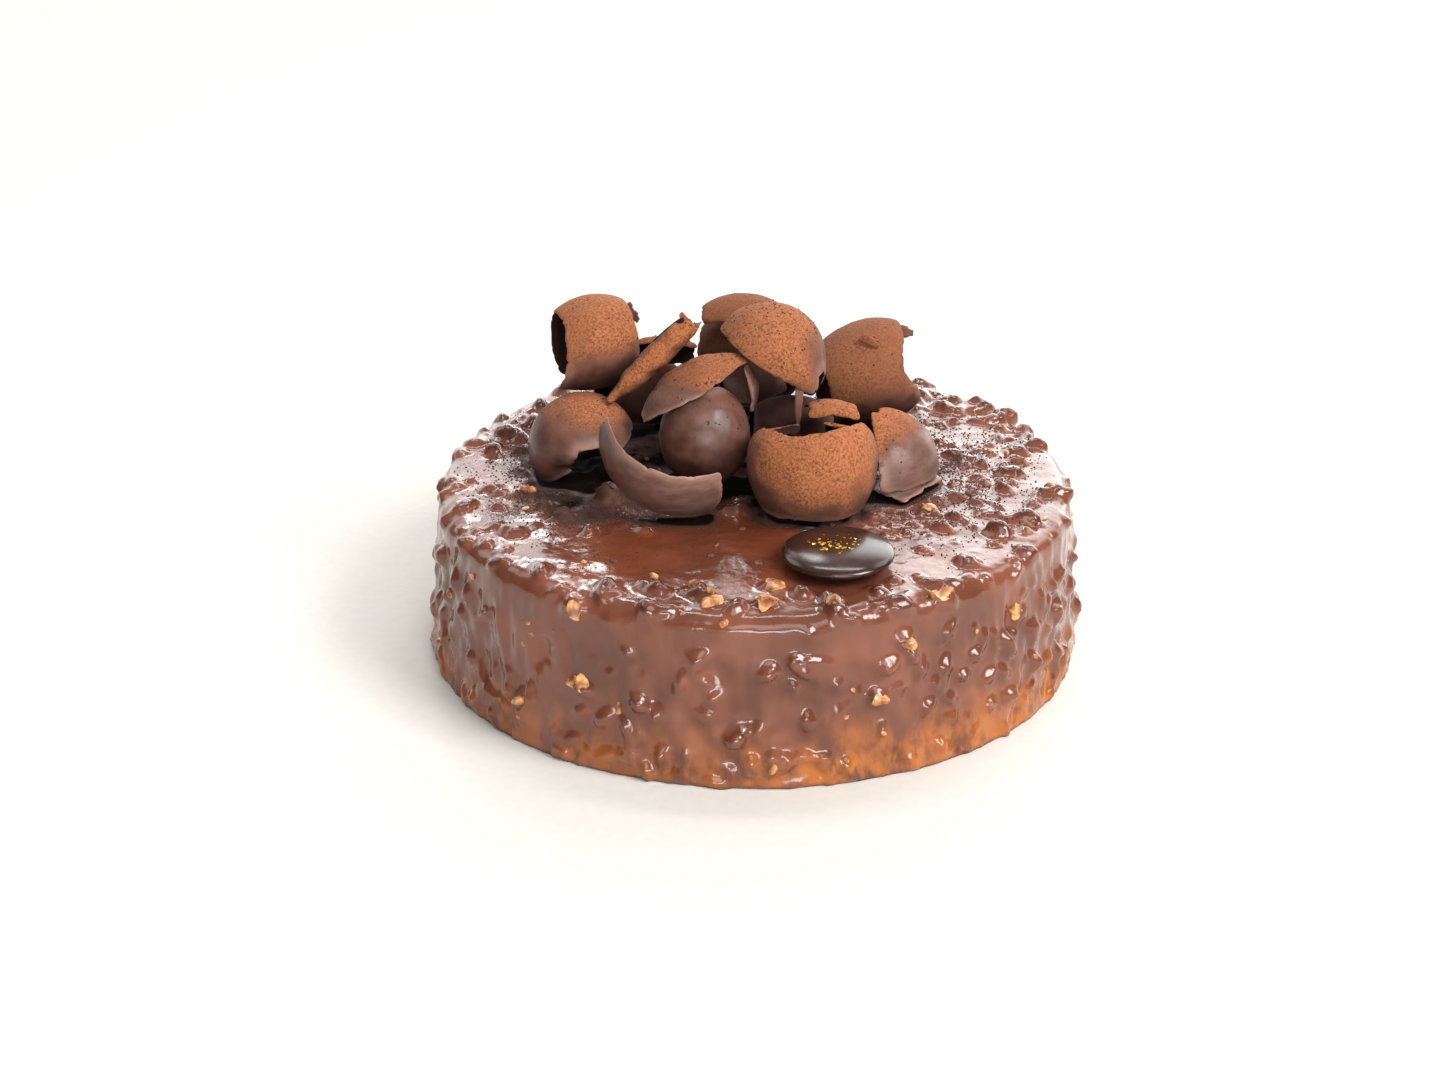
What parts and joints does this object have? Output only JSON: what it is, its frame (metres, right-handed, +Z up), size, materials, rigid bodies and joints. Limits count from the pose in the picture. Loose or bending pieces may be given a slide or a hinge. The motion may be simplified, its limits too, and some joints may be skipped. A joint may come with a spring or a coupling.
{
  "type": "whole chocolate cake",
  "caption": "Round cake under a shiny chocolate and chopped nut glaze, topped with a pile of cocoa-dusted chocolate curls and a lens-shaped chocolate button",
  "frame": {"origin": "middle of the flat underside of the cake", "axes": "+Z up, -Y towards the front where the button lies, +X to the right seen from the front"},
  "size_m": [0.1998, 0.2017, 0.1053],
  "materials": {
    "glaze": "shiny milk chocolate glaze with chopped nuts in it",
    "curl": "chocolate dusted with cocoa, half shiny where it is bare",
    "button": "glossy dark chocolate"
  },
  "bodies": {
    "root": {"cake": "glaze", "chocolate_button": "button", "curl_left_dome": "curl", "curl_front_ring": "curl", "curl_front_barrel": "curl", "curl_low_flake": "curl", "curl_right_shell": "curl", "curl_right_barrel": "curl", "curl_back_left": "curl", "curl_back_middle": "curl", "curl_middle_roll": "curl", "curl_bridge": "curl", "curl_front_dome": "curl", "curl_rim_flake": "curl", "curl_small_shell": "curl", "curl_leaf": "curl", "curl_slim_roll": "curl", "curl_crown_back": "curl", "curl_crown_dome": "curl", "curl_upper_left_barrel": "curl"}
  },
  "joints": []
}
